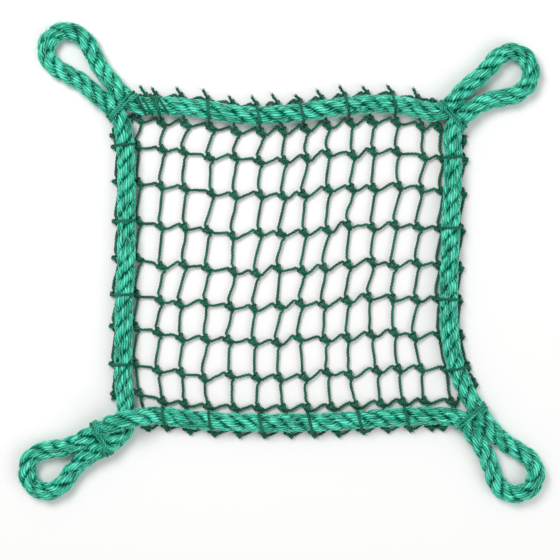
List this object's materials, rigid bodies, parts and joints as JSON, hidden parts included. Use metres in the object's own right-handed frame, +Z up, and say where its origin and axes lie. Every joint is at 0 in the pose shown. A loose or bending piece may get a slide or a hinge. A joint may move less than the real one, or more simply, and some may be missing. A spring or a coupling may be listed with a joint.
{
  "type": "knotted rope netting panel",
  "caption": "Rectangular panel of knotted twine netting on a laid rope border with a rope eye at each corner for lashing or hanging.",
  "frame": {"origin": "under the middle of the whole net, on the surface that it lies on", "axes": "+X along the longer side, +Y along the shorter side towards the top edge, +Z up, square to the panel"},
  "size_m": [0.4381, 0.3998, 0.029],
  "materials": {
    "border_rope": "glossy three-strand laid polyethylene rope, bright emerald green",
    "mesh_twine": "twisted polyethylene twine, dark green, slightly glossy",
    "seizing_twine": "yarn of polyethylene rope, light mint green, wound tightly"
  },
  "bodies": {
    "net_panel": {"mesh_twine_01": "mesh_twine", "mesh_twine_02": "mesh_twine", "mesh_twine_03": "mesh_twine", "mesh_twine_04": "mesh_twine", "mesh_twine_05": "mesh_twine", "mesh_twine_06": "mesh_twine", "mesh_twine_07": "mesh_twine", "mesh_twine_08": "mesh_twine", "mesh_twine_09": "mesh_twine", "mesh_twine_10": "mesh_twine", "mesh_twine_11": "mesh_twine", "mesh_twine_12": "mesh_twine", "mesh_twine_13": "mesh_twine", "mesh_twine_14": "mesh_twine", "mesh_twine_15": "mesh_twine", "mesh_twine_16": "mesh_twine", "mesh_twine_17": "mesh_twine", "mesh_twine_18": "mesh_twine", "mesh_twine_19": "mesh_twine", "mesh_twine_20": "mesh_twine", "mesh_twine_21": "mesh_twine", "mesh_twine_22": "mesh_twine", "mesh_twine_23": "mesh_twine", "mesh_twine_24": "mesh_twine", "mesh_twine_25": "mesh_twine", "border_rope_top": "border_rope", "border_rope_right": "border_rope", "border_rope_bottom": "border_rope", "border_rope_left": "border_rope", "corner_seizing_top_left": "seizing_twine", "corner_seizing_top_right": "seizing_twine", "corner_seizing_bottom_right": "seizing_twine", "corner_seizing_bottom_left": "seizing_twine"},
    "top_left_eye": {"corner_eye_top_left": "border_rope"},
    "top_right_eye": {"corner_eye_top_right": "border_rope"},
    "bottom_right_eye": {"corner_eye_bottom_right": "border_rope"},
    "bottom_left_eye": {"corner_eye_bottom_left": "border_rope"}
  },
  "joints": [
    {"name": "top_left_eye_lift", "type": "hinge", "parent": "net_panel", "child": "top_left_eye", "pos_m": [-0.1405, 0.1381, 0.00965], "axis": [0.7071, 0.7071, 0], "range_deg": [0, 90]},
    {"name": "top_right_eye_lift", "type": "hinge", "parent": "net_panel", "child": "top_right_eye", "pos_m": [0.1495, 0.1297, 0.00965], "axis": [0.6691, -0.7431, 0], "range_deg": [0, 90]},
    {"name": "bottom_right_eye_lift", "type": "hinge", "parent": "net_panel", "child": "bottom_right_eye", "pos_m": [0.1635, -0.1363, 0.00965], "axis": [-0.809, -0.5878, 0], "range_deg": [0, 90]},
    {"name": "bottom_left_eye_lift", "type": "hinge", "parent": "net_panel", "child": "bottom_left_eye", "pos_m": [-0.1597, -0.1519, 0.00965], "axis": [-0.5, 0.866, 0], "range_deg": [0, 90]}
  ]
}
